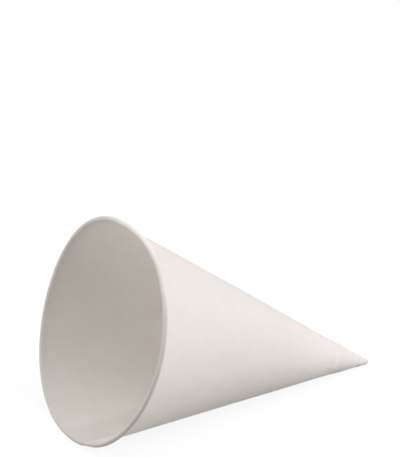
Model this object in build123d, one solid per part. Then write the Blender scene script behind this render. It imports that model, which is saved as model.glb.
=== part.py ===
from build123d import *
import math
import os

# Cone paper cup, rolled from one sheet and lying on its side, in millimetres.
# It is drawn upright first, tip down on the Z axis, then laid on the floor.

# Overall size
rim_diameter = 70.0      # across the rolled rim
cup_height = 95.0        # from the tip to the top of the rim, along the axis

# Sheet
paper = 0.3              # thickness of one ply
lap_width = 10.0         # how far the outer ply runs on past the inner edge, at the rim
lap_tip = 15.5           # how near the outer ply's straight edge comes to the cone's point
lap_climb = 3.5          # degrees of turn in which the sheet climbs onto its own edge

# Rolled rim
roll_diameter = 1.5      # across the rolled paper
roll_turn = 275.0        # degrees that the paper rolls outwards and back
roll_creases = 11        # short flats that the rolled paper is pressed into

# Pressed tip
tip_radius = 0.8         # rounding of the very end
tip_height = 4.5         # how much of the cone is pressed shut
tip_fold = 0.15          # how far the pressed tip stands proud of the outer ply

# Way it lies
seam_turn = 198.0        # the inner edge, round the rim from its top, in degrees: the heavy lap is lowest
rest_flat = 10.0         # width of rim that is pressed flat where the cup lies on it

# Worked out from the above
roll_radius = roll_diameter / 2
roll_centre = (rim_diameter / 2 - roll_radius, cup_height - roll_radius)
rest_press = rim_diameter / 2 - math.sqrt((rim_diameter / 2) ** 2 - (rest_flat / 2) ** 2)


def cone_angle():
    """Half angle of the wall: it touches the tip's rounding and runs into the roll."""
    across = roll_centre[0]
    along = roll_centre[1] - tip_radius
    gap = (tip_radius - tip_fold - paper) + (roll_radius - paper)
    return math.acos(gap / math.hypot(across, along)) - math.atan2(along, across)


slope = cone_angle()
wall_start = tip_radius * (1 - math.sin(slope)) - tip_fold - 2 * paper
ply_foot = tip_height / 2


def wall_radius(depth, height):
    """Radius at a height, of the surface this deep in the plies from the inside."""
    return (wall_start + depth + height * math.sin(slope)) / math.cos(slope)


def section(radius, height):
    """A point of the cup's half section."""
    return Vector(radius, 0, height)


def roll_point(radius, turn):
    """A point round the roll, counted from where the wall runs into it."""
    angle = math.pi - slope - math.radians(turn)
    across, along = roll_centre
    return section(across + radius * math.cos(angle), along + radius * math.sin(angle))


def roll_points(radius):
    """The creases of the roll at one radius, from the wall round to the cut edge."""
    return [roll_point(radius, roll_turn * i / roll_creases) for i in range(roll_creases + 1)]


def ply_section(inside, outside):
    """Half section of the sheet between two depths, from inside the tip to the roll."""
    foot_in = section(wall_radius(inside, ply_foot), ply_foot)
    foot_out = section(wall_radius(outside, ply_foot), ply_foot)
    going_out = roll_points(roll_radius - inside)
    coming_back = reversed(roll_points(roll_radius - outside))
    return make_face(Polyline(foot_in, *going_out, *coming_back, foot_out, close=True))


def turned(shape, degrees):
    """The shape carried round the axis, the way the sheet is wound."""
    return shape.rotate(Axis.Z, -degrees)


def wound(face, degrees):
    """The half section swept round the axis, the way the sheet is wound."""
    return revolve(face, axis=Axis((0, 0, 0), (0, 0, -1)), revolution_arc=degrees)


def main_sheet():
    return wound(ply_section(0, paper), 360 - lap_climb)


def climbing_sheet():
    """The stretch in which the sheet rises onto its own inner edge."""
    low = turned(ply_section(0, paper), -lap_climb)
    high = ply_section(paper, 2 * paper)
    return loft([low, high], ruled=True)


def lap_edge_points(scale):
    """The outer ply's straight cut edge, bent round the cone with the sheet."""
    apex = -(wall_start + 2 * paper) / math.sin(slope)
    rim_slant = (cup_height - apex) / math.cos(slope)
    # Laid out flat, the edge is a line this far round from the inner edge at its nearest.
    nearest = lap_width / rim_slant + math.acos(lap_tip / rim_slant)
    first = nearest - math.acos(lap_tip / (rim_slant + 4 * roll_diameter))
    last = math.radians(360 - lap_climb / 2) * math.sin(slope)
    steps = 24
    points = []
    for i in range(steps + 1):
        # The turn grows fast near the tip, so the points crowd there.
        flat_angle = first * (last / first) ** (i / steps)
        slant = lap_tip / math.cos(flat_angle - nearest)
        turn = -flat_angle / math.sin(slope)
        radius = slant * math.sin(slope) * scale
        height = apex + slant * math.cos(slope)
        points.append(Vector(radius * math.cos(turn), radius * math.sin(turn), height))
    return points


def lap():
    """The outer ply: it runs on past the inner edge and wraps right round near the tip."""
    ring = wound(ply_section(paper, 2 * paper), 360 - lap_climb)
    near = Spline(lap_edge_points(0.8))
    far = Spline(lap_edge_points(1.2))
    cutter = Face.make_surface_from_curves(near, far)
    pieces = split(ring, bisect_by=cutter, keep=Keep.ALL)
    return pieces.solids().sort_by(Axis.Z)[0]


def pressed_tip():
    """The plies folded and pressed into one, which closes the cone."""
    proud = 2 * paper + tip_fold
    shoulder = tip_height - paper
    centre = section(0, tip_radius)
    touch = section(tip_radius * math.cos(slope), tip_radius - tip_radius * math.sin(slope))
    half_way = centre + Vector(0, 0, -tip_radius).rotate(Axis.Y, -(90 - math.degrees(slope)) / 2)
    rounding = ThreePointArc(section(0, 0), half_way, touch)
    side = Line(touch, section(wall_radius(proud, shoulder), shoulder))
    step = Line(side @ 1, section(wall_radius(paper, tip_height), tip_height))
    top = Line(step @ 1, section(0, tip_height))
    axis = Line(top @ 1, section(0, 0))
    return revolve(make_face([rounding, side, step, top, axis]), axis=Axis.Z)


def lying_angle():
    """How far the axis leans when the pressed roll and the tip both touch the floor."""
    across = roll_centre[0]
    along = roll_centre[1] - tip_radius
    gap = tip_radius - (roll_radius - rest_press)
    return math.acos(gap / math.hypot(across, along)) - math.atan2(along, across)


def laid_down(shape):
    """The upright shape on its side, mouth towards -X, its tip on the floor near the origin."""
    lean = lying_angle()
    rim_top = (math.sin(lean), 0, math.cos(lean))
    mouth_way = (-math.cos(lean), 0, math.sin(lean))
    tip_end = (0, 0, tip_radius * (1 - math.sin(lean)))
    return Plane(origin=tip_end, x_dir=rim_top, z_dir=mouth_way).location * shape


def pressed_rim(lying_cup):
    """The cup with its rolled rim pressed flat on the floor, the paper there as thick as before."""
    roll_inside = revolve(make_face(Polyline(*roll_points(roll_radius - paper / 2), close=True)), axis=Axis.Z)
    under_rim = Pos(-cup_height, 0, 0)
    below = under_rim * Box(cup_height, rim_diameter, rim_diameter, align=(Align.CENTER, Align.CENTER, Align.MAX))
    flat = under_rim * Box(cup_height, rim_diameter, paper, align=(Align.CENTER, Align.CENTER, Align.MIN))
    return lying_cup - below + (laid_down(roll_inside) & flat)


def paper_cone_cup():
    sheet = main_sheet() + climbing_sheet() + lap() + pressed_tip()
    cup = pressed_rim(laid_down(sheet.rotate(Axis.Z, seam_turn)))
    middle = cup.bounding_box().center()
    return cup.moved(Location((-middle.X, -middle.Y, 0)))


cup = paper_cone_cup()
os.makedirs("parts", exist_ok=True)
export_step(cup, "parts/paper_cone_cup.step")
print("solids", len(cup.solids()), "valid", cup.is_valid, "volume", round(cup.volume, 2))
print("box", cup.bounding_box().min, cup.bounding_box().max)
print("centre of mass", cup.center(CenterOf.MASS))
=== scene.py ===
from math import acos, atan2, cos, degrees, hypot, pi, radians, sin, sqrt

import bmesh
import bpy
from mathutils import Matrix, Vector, noise


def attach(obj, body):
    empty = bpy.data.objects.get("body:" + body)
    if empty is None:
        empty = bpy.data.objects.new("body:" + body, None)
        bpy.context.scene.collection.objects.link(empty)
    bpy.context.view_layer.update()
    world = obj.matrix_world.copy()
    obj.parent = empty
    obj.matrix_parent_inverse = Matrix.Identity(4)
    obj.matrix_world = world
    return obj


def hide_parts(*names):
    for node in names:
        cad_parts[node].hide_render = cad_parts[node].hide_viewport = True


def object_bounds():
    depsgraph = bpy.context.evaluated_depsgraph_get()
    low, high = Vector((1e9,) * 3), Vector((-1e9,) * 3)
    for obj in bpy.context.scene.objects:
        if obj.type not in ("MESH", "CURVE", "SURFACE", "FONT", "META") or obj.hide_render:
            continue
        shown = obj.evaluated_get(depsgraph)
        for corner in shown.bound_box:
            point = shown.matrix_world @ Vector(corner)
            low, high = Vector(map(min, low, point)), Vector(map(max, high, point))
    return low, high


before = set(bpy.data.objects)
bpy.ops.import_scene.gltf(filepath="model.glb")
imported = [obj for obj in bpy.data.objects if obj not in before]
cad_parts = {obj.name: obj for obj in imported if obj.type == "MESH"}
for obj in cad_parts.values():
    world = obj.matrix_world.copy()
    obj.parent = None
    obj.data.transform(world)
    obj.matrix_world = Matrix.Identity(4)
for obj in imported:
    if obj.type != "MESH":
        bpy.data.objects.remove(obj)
cadLow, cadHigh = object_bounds()
print("frame loaded, cup box", cadLow, cadHigh)

# lengths are in metres and turns in degrees, unless a line says otherwise
mm = 0.001

# the sheet and how it is wound; its width over the rim is the frame's own
sheet = {
    "rimRadius": (cadHigh.y - cadLow.y) / 2,
    "height": 95 * mm,
    "ply": 0.3 * mm,
    "plyGap": 0.01 * mm,       # air left between two plies
    "lapWidth": 10 * mm,       # at the rim
    "lapTip": 15.5 * mm,       # straight outer edge to the fan's point
    "climb": 12.0,             # turn in which the sheet climbs onto its own edge
    "seamTurn": 198.0,         # inner edge, round the rim from its top
    "endTurn": 712.0,          # where the outer ply stops, near the tip
    "footHeight": 2.25 * mm,   # the sheet's lowest row, inside the pressed tip
    "edgeThin": 0.15,          # the cut edges are pressed down to this share of the ply
    "edgeWidth": 2.0 * mm,
    "columns": 476,            # round the whole winding
    "rows": (6, 24, 30),       # along the wall, close where the outer edge shows near the tip
    "closeFrom": 12.5 * mm,
    "closeTo": 20.5 * mm,
    "sharpFrom": 38.0,         # faces that meet at more than this keep a sharp edge
}
# near the tip the outer edge is pressed flat, and for a short stretch the ply under it bulges beside it; that
# bulge gets a painted highlight, and the tip gets painted light
tipEdge = {
    "thinFrom": 520.0,         # turn of the winding from which the edge gets flatter
    "thinWidth": 40.0,
    "thin": 0.03,
    "width": 5.0 * mm,
    "bulge": 0.15 * mm,
    "bulgeWidth": 1.3 * mm,
    # start, rise, end and fall: by turn of the winding, then in bulge widths out from the edge, for the bulge
    # and for its painted highlight
    "bulgeTurns": (602.0, 30.0, 668.0, 12.0),
    "bulgeAcross": (0.0, 1.0, 3.2, 2.2),
    "highlightAcross": (-0.3, 0.2, 1.5, 0.9),
    "paleness": 0.5,           # painted light, on the tip and towards it
    "paleFrom": 42 * mm,       # along the wall, and from there down to the tip
    "paleWidth": 30 * mm,
}
rolledRim = {
    "radius": 0.75 * mm,
    "turn": 275.0,
    "rows": 22,
    "flatWidth": 10 * mm,      # pressed flat where the cup lies on it
    "unevenness": 0.05,        # of the roll's radius
    "lumps": 5.0,              # how close its uneven places are
    "lumpSeed": 3.7,
    "darkFrom": 80.0,          # turn of the roll from which its outer half gets painted shade
    "darkWidth": 70.0,
    "unshadedTop": 42.0,          # this far round from the rim's top the roll gets no painted shade
    "shadedSide": 58.0,         # from here on its outer half gets it in full
    "paleMiddle": 1.0,         # painted light on a stretch of the roll by the rim's top
    "paleHalf": 29.0,
    "paleFade": 14.0,
    "paleFrom": 10.0,          # turn of the roll from which that stretch is paler
    "paleWidth": 40.0,
}
pressedTip = {
    "radius": 0.8 * mm,        # rounding of the very end
    "height": 4.5 * mm,
    "proud": 0.15 * mm,        # stands out from the outer ply
    "shoulder": 0.4 * mm,      # length of the step down to the sheet
    "roundRows": 5,
    "sideRows": 8,
    "folds": 7,
    "foldSteps": 6,            # columns to a fold
    "foldDepth": 0.16 * mm,
    "foldPower": 0.5,          # the lower, the sharper the creases
    "foldLean": 0.35,          # radians round for each mm along
    "foldFade": 1.0 * mm,
    "darkEnd": 1.1 * mm,       # painted shade on the very end, as dark as the roll's
    "darkFade": 0.5 * mm,
}
looseness = {
    "wave": 0.10 * mm,         # slow waves in the wall
    "waveSize": 24 * mm,
    "waveSeed": (7.3, 1.9, 4.2),
    "fadeTip": 30 * mm,        # the waves fade out over this much by the tip and by the rim
    "fadeRim": 12 * mm,
    "rimIn": 0.0149,           # out of round: drawn in all round, then by 2 to 6 lobes
    "rimCos": (-0.0095, -0.0125, -0.0062, -0.0001, -0.0010),
    "rimSin": (0.0032, 0.0066, -0.0045, -0.0038, -0.0024),
}


def coneSlope():
    # the wall touches the tip's rounding and runs into the roll
    across = sheet["rimRadius"] - rolledRim["radius"]
    along = sheet["height"] - rolledRim["radius"] - pressedTip["radius"]
    gap = pressedTip["radius"] - pressedTip["proud"] + rolledRim["radius"] - 2 * sheet["ply"]
    return acos(gap / hypot(across, along)) - atan2(along, across)


slope = coneSlope()
alongWall = Vector((sin(slope), 0, cos(slope)))
outOfWall = Vector((cos(slope), 0, -sin(slope)))
rollCentre = Vector((sheet["rimRadius"] - rolledRim["radius"], 0, sheet["height"] - rolledRim["radius"]))
wallSlant = rollCentre.dot(alongWall)
innerFace = rollCentre.dot(outOfWall) - rolledRim["radius"]
rollMiddle = rolledRim["radius"] - sheet["ply"] / 2
# the outer ply's own point lies this far beyond the tip
outerLead = (innerFace + 2 * sheet["ply"]) / sin(slope) * cos(slope)


def smoothStep(x):
    x = min(max(x, 0.0), 1.0)
    return x * x * (3 - 2 * x)


def window(x, start, rise, end, fall):
    # 0, then 1 between the start and the end, then 0 again
    return smoothStep((x - start) / rise) * smoothStep((end - x) / fall)


def between(low, high, share):
    return low + (high - low) * share


def rimShape(turn, height):
    # the rim is a little out of round, which fades out towards the tip
    change = -looseness["rimIn"]
    for lobes, (cosine, sine) in enumerate(zip(looseness["rimCos"], looseness["rimSin"]), 2):
        change += cosine * cos(lobes * turn) + sine * sin(lobes * turn)
    return 1 + change * height / sheet["height"]


def layingDown():
    # upright cup to lying cup, its pressed rim and its tip on the floor
    press = sheet["rimRadius"] - sqrt(sheet["rimRadius"] ** 2 - (rolledRim["flatWidth"] / 2) ** 2)
    across = rollCentre.x * rimShape(pi, rollCentre.z)
    along = rollCentre.z - pressedTip["radius"]
    gap = pressedTip["radius"] - (rolledRim["radius"] - press)
    lean = acos(gap / hypot(across, along)) - atan2(along, across)
    rimTop = Vector((sin(lean), 0, cos(lean)))
    mouthWay = Vector((-cos(lean), 0, sin(lean)))
    tipCentre = Vector((cadHigh.x - pressedTip["radius"], 0, pressedTip["radius"]))
    tipEnd = tipCentre - pressedTip["radius"] * mouthWay
    turning = Matrix((rimTop, Vector((0, 1, 0)), mouthWay)).transposed().to_4x4()
    return Matrix.Translation(tipEnd) @ turning


laid = layingDown()


def blankRows():
    # distances from the tip along the wall, and on round the roll
    rows = []
    ends = (sheet["footHeight"] / cos(slope), sheet["closeFrom"], sheet["closeTo"], wallSlant)
    for low, high, count in zip(ends, ends[1:], sheet["rows"]):
        for i in range(count):
            rows.append(low + (high - low) * i / count)
    for i in range(rolledRim["rows"] + 1):
        rows.append(wallSlant + rollMiddle * radians(rolledRim["turn"]) * i / rolledRim["rows"])
    return rows


def cutLine():
    # which way the straight outer edge faces on the flat blank, seen from the fan's point
    rimSlant = sheet["height"] / cos(slope) + outerLead
    nearest = 2 * pi * sin(slope) + sheet["lapWidth"] / rimSlant + acos(sheet["lapTip"] / rimSlant)
    return Vector((cos(nearest), sin(nearest), 0))


cutWay = cutLine()


def flatBlank():
    # the fan of paper before it is wound, laid out flat, with its straight outer edge cut
    rows = blankRows()
    flatEnd = radians(sheet["endTurn"]) * sin(slope)
    bm = bmesh.new()
    bmesh.ops.create_grid(bm, x_segments=len(rows) - 1, y_segments=sheet["columns"], size=1)
    for v in bm.verts:
        slant = rows[round((v.co.x + 1) / 2 * (len(rows) - 1))] + outerLead
        angle = flatEnd * (v.co.y + 1) / 2
        v.co = Vector((slant * cos(angle), slant * sin(angle), 0))
    everything = bm.verts[:] + bm.edges[:] + bm.faces[:]
    bmesh.ops.bisect_plane(
        bm, geom=everything, plane_co=cutWay * sheet["lapTip"], plane_no=cutWay, clear_outer=True
    )
    return bm


def flatPlace(flat):
    # slant along the wall and turn from the inner edge, of a point on the flat blank
    slack = 0.01               # this little below zero is still the inner edge, and not a full turn
    flatAngle = (atan2(flat.y, flat.x) + slack) % (2 * pi) - slack
    return hypot(flat.x, flat.y) - outerLead, flatAngle / sin(slope)


def plyShare(flat):
    # how much of the ply's thickness is left here: the cut edges are pressed thin
    slant, turn = flatPlace(flat)
    thin = sheet["edgeThin"]
    width = sheet["edgeWidth"]
    if turn < pi:
        inwards = slant * sin(slope) * turn
    else:
        inwards = sheet["lapTip"] - flat.dot(cutWay)
        nearTip = smoothStep((degrees(turn) - tipEdge["thinFrom"]) / tipEdge["thinWidth"])
        thin = between(thin, tipEdge["thin"], nearTip)
        width = between(width, tipEdge["width"], nearTip)
    return between(thin, 1, smoothStep(inwards / width))


def tipPaleness(slant):
    # painted light: the plies are painted paler towards the tip
    return tipEdge["paleness"] * smoothStep((tipEdge["paleFrom"] - slant) / tipEdge["paleWidth"])


def rollPlace(flat):
    # turn of the roll, and turn round the rim from its top, of a point on the flat blank
    slant, turn = flatPlace(flat)
    fromTop = (sheet["seamTurn"] - degrees(turn) + 180) % 360 - 180
    return degrees((slant - wallSlant) / rollMiddle), fromTop


def rollDarkness(flat):
    # painted shade on the outer half of the roll, except by the rim's top
    bend, fromTop = rollPlace(flat)
    change = rolledRim["shadedSide"] - rolledRim["unshadedTop"]
    shadedShare = smoothStep((abs(fromTop) - rolledRim["unshadedTop"]) / change)
    return smoothStep((bend - rolledRim["darkFrom"]) / rolledRim["darkWidth"]) * shadedShare


def rollPaleness(flat):
    # painted light on the stretch of the roll by the rim's top
    bend, fromTop = rollPlace(flat)
    aside = abs(fromTop - rolledRim["paleMiddle"])
    stretch = smoothStep((rolledRim["paleHalf"] - aside) / rolledRim["paleFade"])
    return stretch * smoothStep((bend - rolledRim["paleFrom"]) / rolledRim["paleWidth"])


def bulgeShare(flat):
    # how high the ply bulges beside the edge that lies on it one turn further on, and how much painted
    # highlight it gets there
    slant, turn = flatPlace(flat)
    over = turn + 2 * pi
    reach = slant + outerLead
    beyond = reach * (cos(over * sin(slope)) * cutWay.x + sin(over * sin(slope)) * cutWay.y) - sheet["lapTip"]
    across = beyond / tipEdge["bulgeWidth"]
    along = window(degrees(over), *tipEdge["bulgeTurns"])
    height = window(across, *tipEdge["bulgeAcross"]) * along
    paleness = window(across, *tipEdge["highlightAcross"]) * along
    return height, paleness


def woundPoint(flat, thickness):
    # a point of the flat blank, in its place on the wound cup as it lies
    slant, turn = flatPlace(flat)
    climb = radians(sheet["climb"])
    plies = smoothStep((turn - 2 * pi + climb) / climb)
    if turn < pi:
        depth = sheet["ply"] - thickness / 2
    else:
        depth = plies * (sheet["ply"] + sheet["plyGap"]) + thickness / 2
    azimuth = radians(sheet["seamTurn"]) - turn
    if slant <= wallSlant:
        bulge = tipEdge["bulge"] * bulgeShare(flat)[0]
        section = alongWall * slant + outOfWall * (innerFace + depth + bulge)
    else:
        bend = pi - slope - (slant - wallSlant) / rollMiddle
        lumps = rolledRim["lumps"]
        uneven = noise.noise(Vector((cos(azimuth) * lumps, sin(azimuth) * lumps, rolledRim["lumpSeed"])))
        start = smoothStep((slant - wallSlant) / rollMiddle)
        swell = rolledRim["radius"] * rolledRim["unevenness"] * uneven * start
        section = rollCentre + Vector((cos(bend), 0, sin(bend))) * (rolledRim["radius"] - depth - swell)
    radius = section.x * rimShape(azimuth, section.z)
    upright = Vector((radius * cos(azimuth), radius * sin(azimuth), section.z))
    wave = noise.noise(upright / looseness["waveSize"] + Vector(looseness["waveSeed"]))
    fade = window(section.z, 0, looseness["fadeTip"], sheet["height"], looseness["fadeRim"])
    outwards = Vector((cos(azimuth), sin(azimuth), 0))
    upright += outwards * (wave * looseness["wave"] * fade)
    lying = laid @ upright
    # the rim is pressed flat on the floor, ply on ply
    lying.z = max(lying.z, depth + sheet["plyGap"])
    return lying


def woundSheet():
    bm = flatBlank()
    thin = bm.verts.layers.deform.verify()
    pale = bm.verts.layers.float.new("pale")
    dark = bm.verts.layers.float.new("dark")
    for v in bm.verts:
        share = plyShare(v.co)
        v[thin][0] = share
        # painted light beside the tip's outer edge, towards the tip and on the roll by the rim's top
        v[pale] = max(bulgeShare(v.co)[1], tipPaleness(flatPlace(v.co)[0]), rollPaleness(v.co))
        # painted shade on the roll's outer half
        v[dark] = rollDarkness(v.co)
        v.co = woundPoint(v.co, sheet["ply"] * share)
    bmesh.ops.recalc_face_normals(bm, faces=bm.faces)
    mesh = bpy.data.meshes.new("woundSheet")
    bm.to_mesh(mesh)
    bm.free()
    wound = bpy.data.objects.new("woundSheet", mesh)
    bpy.context.scene.collection.objects.link(wound)
    wound.vertex_groups.new(name="plyShare")
    wall = wound.modifiers.new("ply", "SOLIDIFY")
    wall.thickness = sheet["ply"]
    wall.offset = 0
    wall.vertex_group = "plyShare"
    bpy.context.view_layer.update()
    graph = bpy.context.evaluated_depsgraph_get()
    thick = bpy.data.meshes.new_from_object(wound.evaluated_get(graph))
    bpy.data.objects.remove(wound)
    print("wound sheet", len(thick.polygons), "faces")
    return thick


def turnedTip(bm):
    # the tip's profile, from its end up to the sheet, turned round the axis
    tip = pressedTip
    proudFace = innerFace + 2 * sheet["ply"] + tip["proud"]
    profile = []
    for i in range(tip["roundRows"] + 1):
        angle = (pi / 2 - slope) * i / tip["roundRows"]
        profile.append(Vector((tip["radius"] * sin(angle), 0, tip["radius"] * (1 - cos(angle)))))
    sideStart = profile[-1].dot(alongWall)
    sideEnd = (tip["height"] - tip["shoulder"]) / cos(slope)
    for i in range(1, tip["sideRows"] + 1):
        slant = sideStart + (sideEnd - sideStart) * i / tip["sideRows"]
        profile.append(alongWall * slant + outOfWall * proudFace)
    profile.append(alongWall * (tip["height"] / cos(slope)) + outOfWall * (proudFace - 2 * tip["proud"]))
    row = [bmesh.ops.create_vert(bm, co=p)["vert"][0] for p in profile]
    edges = [bm.edges.new(pair) for pair in zip(row, row[1:])]
    steps = tip["folds"] * tip["foldSteps"]
    bmesh.ops.spin(
        bm, geom=row + edges, cent=(0, 0, 0), axis=(0, 0, 1), angle=2 * pi, steps=steps, use_merge=True
    )


def closedTip():
    # the plies pressed into one at the tip, with small folds in them
    tip = pressedTip
    bm = bmesh.new()
    turnedTip(bm)
    bmesh.ops.remove_doubles(bm, verts=bm.verts, dist=0.001 * mm)
    onAxis = 0.05 * mm
    for v in bm.verts:
        radius = hypot(v.co.x, v.co.y)
        if radius < onAxis:
            continue
        angle = atan2(v.co.y, v.co.x) + v.co.z / mm * tip["foldLean"]
        fold = abs(sin(angle * tip["folds"] / 2)) ** tip["foldPower"] - 1
        strength = window(v.co.z, 0, tip["foldFade"], tip["height"], tip["foldFade"])
        shrink = 1 + fold * tip["foldDepth"] * strength / radius
        v.co.x *= shrink
        v.co.y *= shrink
    # painted light over the whole tip
    pale = bm.verts.layers.float.new("pale")
    dark = bm.verts.layers.float.new("dark")
    for v in bm.verts:
        v[pale] = tipEdge["paleness"]
        # painted shade on the very end of the tip
        v[dark] = smoothStep((tip["darkEnd"] - v.co.z) / tip["darkFade"])
        v.co = laid @ v.co
    rims = [e for e in bm.edges if e.is_boundary]
    bmesh.ops.holes_fill(bm, edges=rims)
    bmesh.ops.recalc_face_normals(bm, faces=bm.faces)
    mesh = bpy.data.meshes.new("closedTip")
    bm.to_mesh(mesh)
    bm.free()
    print("pressed tip", len(mesh.polygons), "faces")
    return mesh


# uncoated white paper: faint clouds of two tones, and fine fibres, with painted light and painted shade mixed
# into its colour
paint = {
    "light": (0.912, 0.887, 0.857, 1),
    "dark": (0.892, 0.862, 0.827, 1),
    "pale": (0.990, 0.968, 0.942, 1),      # painted light: beside the outer edge near the tip, towards the tip, and on the roll by the rim's top
    "rolled": (0.792, 0.752, 0.707, 1),    # painted shade on the outer half of the roll, and on the tip's end
    "cloudScale": 260,
    "cloudDetail": 5,
    "cloudRoughness": 0.62,
    "darkBelow": 0.3,
    "lightAbove": 0.62,
    "roughness": 0.9,
    "gloss": 0.25,
    "lightThrough": 0.27,      # share of light that each face of the paper lets in
    "fibreScale": 1900,
    "fibreDetail": 4,
    "fibreHeight": 0.02 * mm,
    "fibreStrength": 0.35,
}


def whitePaper():
    paper = bpy.data.materials.new("whitePaper")
    paper.use_nodes = True
    nodes = paper.node_tree.nodes
    links = paper.node_tree.links
    shader = nodes["Principled BSDF"]
    shader.inputs["Roughness"].default_value = paint["roughness"]
    shader.inputs["Specular IOR Level"].default_value = paint["gloss"]
    place = nodes.new("ShaderNodeTexCoord")
    cloud = nodes.new("ShaderNodeTexNoise")
    cloud.inputs["Scale"].default_value = paint["cloudScale"]
    cloud.inputs["Detail"].default_value = paint["cloudDetail"]
    cloud.inputs["Roughness"].default_value = paint["cloudRoughness"]
    tones = nodes.new("ShaderNodeValToRGB")
    tones.color_ramp.elements[0].position = paint["darkBelow"]
    tones.color_ramp.elements[0].color = paint["dark"]
    tones.color_ramp.elements[1].position = paint["lightAbove"]
    tones.color_ramp.elements[1].color = paint["light"]
    # painted light: the pale attribute mixes in a paler colour
    pale = nodes.new("ShaderNodeAttribute")
    pale.attribute_name = "pale"
    paler = nodes.new("ShaderNodeMixRGB")
    paler.inputs["Color2"].default_value = paint["pale"]
    links.new(pale.outputs["Fac"], paler.inputs["Fac"])
    # painted shade: the dark attribute mixes in a darker colour
    dark = nodes.new("ShaderNodeAttribute")
    dark.attribute_name = "dark"
    colour = nodes.new("ShaderNodeMixRGB")
    colour.inputs["Color2"].default_value = paint["rolled"]
    links.new(dark.outputs["Fac"], colour.inputs["Fac"])
    links.new(paler.outputs["Color"], colour.inputs["Color1"])
    fibres = nodes.new("ShaderNodeTexNoise")
    fibres.inputs["Scale"].default_value = paint["fibreScale"]
    fibres.inputs["Detail"].default_value = paint["fibreDetail"]
    bump = nodes.new("ShaderNodeBump")
    bump.inputs["Strength"].default_value = paint["fibreStrength"]
    bump.inputs["Distance"].default_value = paint["fibreHeight"]
    links.new(place.outputs["Object"], cloud.inputs["Vector"])
    links.new(place.outputs["Object"], fibres.inputs["Vector"])
    links.new(cloud.outputs["Fac"], tones.inputs["Fac"])
    links.new(tones.outputs["Color"], paler.inputs["Color1"])
    links.new(colour.outputs["Color"], shader.inputs["Base Color"])
    links.new(fibres.outputs["Fac"], bump.inputs["Height"])
    links.new(bump.outputs["Normal"], shader.inputs["Normal"])
    glowing = nodes.new("ShaderNodeBsdfTranslucent")
    links.new(colour.outputs["Color"], glowing.inputs["Color"])
    both = nodes.new("ShaderNodeMixShader")
    both.inputs[0].default_value = paint["lightThrough"]
    links.new(shader.outputs[0], both.inputs[1])
    links.new(glowing.outputs[0], both.inputs[2])
    links.new(both.outputs[0], nodes["Material Output"].inputs["Surface"])
    return paper


def coneCup():
    bm = bmesh.new()
    for part in (woundSheet(), closedTip()):
        bm.from_mesh(part)
        bpy.data.meshes.remove(part)
    mesh = bpy.data.meshes.new("coneCup")
    bm.to_mesh(mesh)
    bm.free()
    mesh.polygons.foreach_set("use_smooth", [True] * len(mesh.polygons))
    mesh.set_sharp_from_angle(angle=radians(sheet["sharpFrom"]))
    cup = bpy.data.objects.new("coneCup", mesh)
    bpy.context.scene.collection.objects.link(cup)
    mesh.materials.append(whitePaper())
    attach(cup, "root")
    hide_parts("paper_cone_cup")
    print("cup made,", len(mesh.polygons), "faces")


coneCup()

# the studio
studio = {
    "floorHalf": 3.0,
    "floorColour": (0.38, 0.375, 0.37, 1),     # as it lights the cup
    "floorSeen": (0.95, 0.95, 0.95, 1),        # as the camera sees it
    "floorShadow": 0.20,       # how much of the floor's own shading the camera sees
    "floorGlow": 1.08,
    "fill": 0.02,
    "lampSize": 1.2,
    "aimHeight": 0.03,
}
# soft lamps: power in watts, place and colour
plain = (1, 1, 1)
cool = (0.992, 0.974, 1)
lamps = {
    "overhead": (5.2, (0, 0, 1.6), plain),
    "behindHigh": (4.4, (-0.2, 1.0, 1.5), plain),
    "overMouth": (8.3, (-0.95, 0.6, 1.25), plain),
    "mouthLow": (4.2, (-1.6, 0.2, 0.45), plain),
    "mouthFront": (2.5, (-1.3, -0.9, 0.6), plain),
    "rightHigh": (12.0, (0.9, -0.7, 1.3), cool),
    "rightLow": (10.7, (1.4, -0.8, 0.3), cool),
    "rightFront": (7.7, (1.0, -1.3, 0.3), cool),
}


def whiteToCamera(nodes, links):
    # 1 for what the camera sees, straight or in gloss and through glass
    path = nodes.new("ShaderNodeLightPath")
    first = nodes.new("ShaderNodeMath")
    first.operation = "MAXIMUM"
    second = nodes.new("ShaderNodeMath")
    second.operation = "MAXIMUM"
    links.new(path.outputs["Is Camera Ray"], first.inputs[0])
    links.new(path.outputs["Is Glossy Ray"], first.inputs[1])
    links.new(first.outputs[0], second.inputs[0])
    links.new(path.outputs["Is Transmission Ray"], second.inputs[1])
    return second.outputs[0]


def paleFloor():
    bm = bmesh.new()
    bmesh.ops.create_grid(bm, x_segments=1, y_segments=1, size=studio["floorHalf"])
    mesh = bpy.data.meshes.new("paleFloor")
    bm.to_mesh(mesh)
    bm.free()
    floor = bpy.data.objects.new("paleFloor", mesh)
    bpy.context.scene.collection.objects.link(floor)
    card = bpy.data.materials.new("paleCard")
    card.use_nodes = True
    nodes = card.node_tree.nodes
    links = card.node_tree.links
    nodes.clear()
    out = nodes.new("ShaderNodeOutputMaterial")
    matte = nodes.new("ShaderNodeBsdfDiffuse")
    matte.inputs["Color"].default_value = studio["floorColour"]
    pale = nodes.new("ShaderNodeBsdfDiffuse")
    pale.inputs["Color"].default_value = studio["floorSeen"]
    glow = nodes.new("ShaderNodeEmission")
    glow.inputs["Strength"].default_value = studio["floorGlow"]
    seen = nodes.new("ShaderNodeMixShader")
    seen.inputs[0].default_value = 1 - studio["floorShadow"]
    both = nodes.new("ShaderNodeMixShader")
    links.new(pale.outputs[0], seen.inputs[1])
    links.new(glow.outputs[0], seen.inputs[2])
    links.new(whiteToCamera(nodes, links), both.inputs[0])
    links.new(matte.outputs[0], both.inputs[1])
    links.new(seen.outputs[0], both.inputs[2])
    links.new(both.outputs[0], out.inputs["Surface"])
    mesh.materials.append(card)


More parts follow.
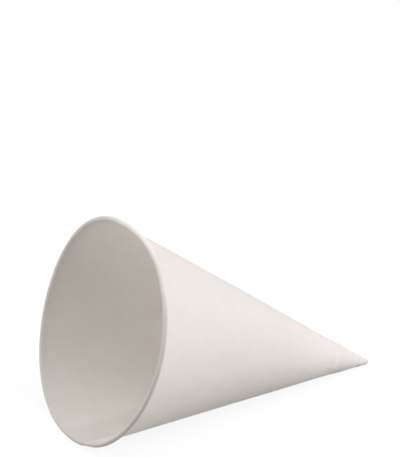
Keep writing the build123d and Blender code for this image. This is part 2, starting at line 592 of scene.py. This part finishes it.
def whiteWorld():
    world = bpy.data.worlds.new("whiteWorld")
    bpy.context.scene.world = world
    world.use_nodes = True
    nodes = world.node_tree.nodes
    links = world.node_tree.links
    nodes.clear()
    out = nodes.new("ShaderNodeOutputWorld")
    fill = nodes.new("ShaderNodeBackground")
    fill.inputs["Strength"].default_value = studio["fill"]
    fill.inputs["Color"].default_value = (1, 1, 1, 1)
    white = nodes.new("ShaderNodeBackground")
    white.inputs["Color"].default_value = (1, 1, 1, 1)
    both = nodes.new("ShaderNodeMixShader")
    links.new(whiteToCamera(nodes, links), both.inputs[0])
    links.new(fill.outputs[0], both.inputs[1])
    links.new(white.outputs[0], both.inputs[2])
    links.new(both.outputs[0], out.inputs["Surface"])


def softLamp(name, power, size, place, colour):
    data = bpy.data.lights.new(name, "AREA")
    data.shape = "DISK"
    data.size = size
    data.energy = power
    data.color = colour
    lamp = bpy.data.objects.new(name, data)
    bpy.context.scene.collection.objects.link(lamp)
    lamp.location = place
    aim = Vector((0, 0, studio["aimHeight"])) - Vector(place)
    lamp.rotation_euler = aim.to_track_quat("-Z", "Y").to_euler()


paleFloor()
whiteWorld()
for name, (power, place, colour) in lamps.items():
    softLamp(name, power, studio["lampSize"], place, colour)
print("studio lit by", len(lamps), "lamps")

# the camera, as the photograph was taken
shot = {
    "azimuth": -27.167,
    "elevation": 28.401,
    "distance": 3.77897,
    "across": -5.660 * mm,
    "up": 50.796 * mm,
    "roll": 0.611,
    "lens": 1000.0,            # this and the sensor are in millimetres
    "sensor": 36.0,
    "clipEnd": 20.0,
}


def photoCamera():
    azimuth = radians(shot["azimuth"])
    elevation = radians(shot["elevation"])
    back = Vector((sin(azimuth) * cos(elevation), -cos(azimuth) * cos(elevation), sin(elevation)))
    right = Vector((cos(azimuth), sin(azimuth), 0))
    upwards = back.cross(right)
    target = right * shot["across"] + upwards * shot["up"]
    roll = radians(shot["roll"])
    right, upwards = right * cos(roll) + upwards * sin(roll), upwards * cos(roll) - right * sin(roll)
    data = bpy.data.cameras.new("photoCamera")
    data.lens = shot["lens"]
    data.sensor_width = shot["sensor"]
    data.sensor_height = shot["sensor"]
    data.sensor_fit = "AUTO"
    data.clip_end = shot["clipEnd"]
    camera = bpy.data.objects.new("photoCamera", data)
    bpy.context.scene.collection.objects.link(camera)
    turning = Matrix((right, upwards, back)).transposed().to_4x4()
    camera.matrix_world = Matrix.Translation(target + back * shot["distance"]) @ turning
    bpy.context.scene.camera = camera


photoCamera()
bpy.context.scene.view_settings.view_transform = "Standard"
print("camera placed")

bpy.context.view_layer.update()
